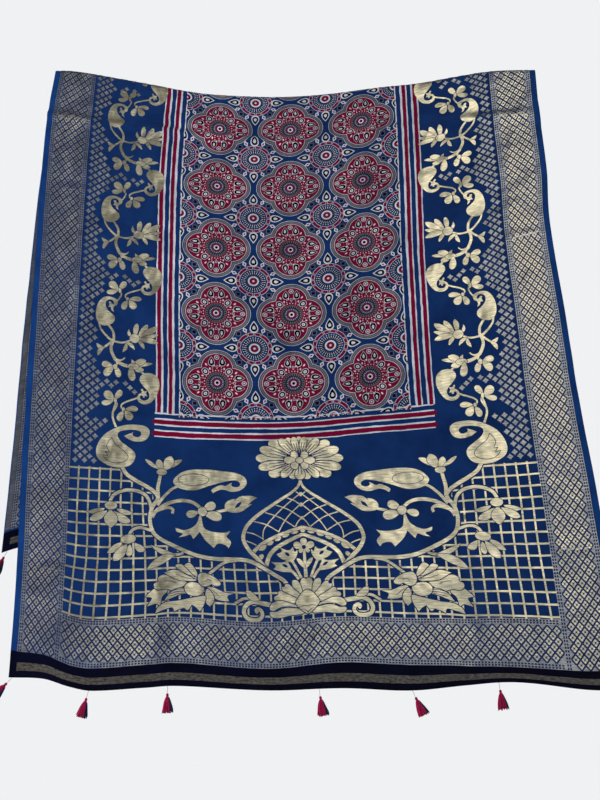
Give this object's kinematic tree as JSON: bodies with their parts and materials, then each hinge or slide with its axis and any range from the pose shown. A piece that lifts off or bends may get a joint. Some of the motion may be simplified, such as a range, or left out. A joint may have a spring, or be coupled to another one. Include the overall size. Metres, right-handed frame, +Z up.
{
  "type": "ajrakh printed dupatta hung folded over a line",
  "caption": "Long printed dupatta cloth with woven borders and yarn tassels, hanging folded over a line, its front fall longer than its back fall.",
  "frame": {"origin": "the crest of the fold over the line, at its middle", "axes": "+Z up, +X across the cloth to the right, -Y towards its front fall"},
  "size_m": [1.1372, 0.0721, 1.4372],
  "materials": {
    "cloth": "matte woven cloth, blue ground",
    "print_crimson": "matte block print, crimson",
    "print_cream": "matte block print, cream resist",
    "print_black": "matte block print, black",
    "zari": "woven metallic yarn, soft glint",
    "hem": "matte woven band, navy black",
    "tassel": "twisted yarn, maroon and navy"
  },
  "bodies": {
    "root": {"cloth": "cloth", "front_tassel_1": "tassel", "front_tassel_2": "tassel", "front_tassel_3": "tassel", "front_tassel_4": "tassel", "front_tassel_5": "tassel", "front_tassel_6": "tassel", "front_tassel_7": "tassel", "back_tassel_1": "tassel", "back_tassel_2": "tassel", "back_tassel_3": "tassel", "back_tassel_4": "tassel", "back_tassel_5": "tassel", "back_tassel_6": "tassel", "back_tassel_7": "tassel", "back_tassel_8": "tassel"}
  },
  "joints": []
}
